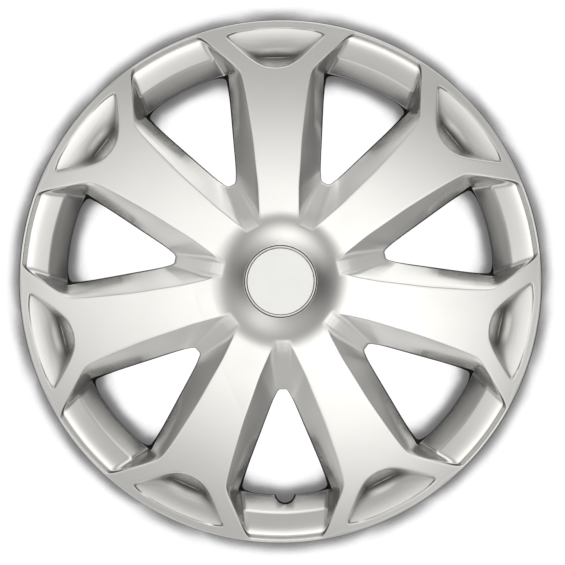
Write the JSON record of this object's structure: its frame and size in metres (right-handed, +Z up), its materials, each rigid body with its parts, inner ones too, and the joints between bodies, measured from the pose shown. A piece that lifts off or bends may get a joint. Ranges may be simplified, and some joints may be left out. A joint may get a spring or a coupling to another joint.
{
  "type": "wheel cover",
  "caption": "Round clip-on wheel cover with broad tapered spokes, open windows, a raised hub with a blank badge, and a sprung wire ring and grip clips on its back.",
  "frame": {"origin": "on the wheel's axis, in the plane where the cover's back edge lies on the rim flange", "axes": "+Y along the wheel's axis, towards the wheel, so the face looks along -Y; +Z up through the middle of one spoke; +X to the right seen from the front"},
  "size_m": [0.405, 0.0695, 0.405],
  "materials": {
    "silver_paint": "fine silver metallic paint under clear lacquer on ABS",
    "spring_steel": "blued rolled spring steel",
    "zinc_wire": "zinc-plated drawn wire",
    "badge_plate": "pale satin disc, blank",
    "black_tape": "black foam tape"
  },
  "bodies": {
    "cover": {"cover_face": "silver_paint", "grip_clip_01": "spring_steel", "grip_clip_02": "spring_steel", "grip_clip_03": "spring_steel", "grip_clip_04": "spring_steel", "grip_clip_05": "spring_steel", "grip_clip_06": "spring_steel", "grip_clip_07": "spring_steel", "grip_clip_08": "spring_steel", "grip_clip_09": "spring_steel", "grip_clip_10": "spring_steel", "grip_clip_11": "spring_steel", "grip_clip_12": "spring_steel", "grip_clip_13": "spring_steel", "grip_clip_14": "spring_steel"},
    "ring": {"tension_ring": "zinc_wire", "ring_sleeve": "zinc_wire"},
    "cap": {"centre_cap": "silver_paint", "badge_disc": "badge_plate", "badge_glue": "black_tape"}
  },
  "joints": [
    {"name": "ring_turn", "type": "hinge", "parent": "cover", "child": "ring", "pos_m": [0, 0.012, 0], "axis": [0, 1, 0], "range_deg": [-10, 10]},
    {"name": "cap_pull", "type": "slide", "parent": "cover", "child": "cap", "axis": [0, -1, 0], "range_m": [0, 0.016]}
  ]
}
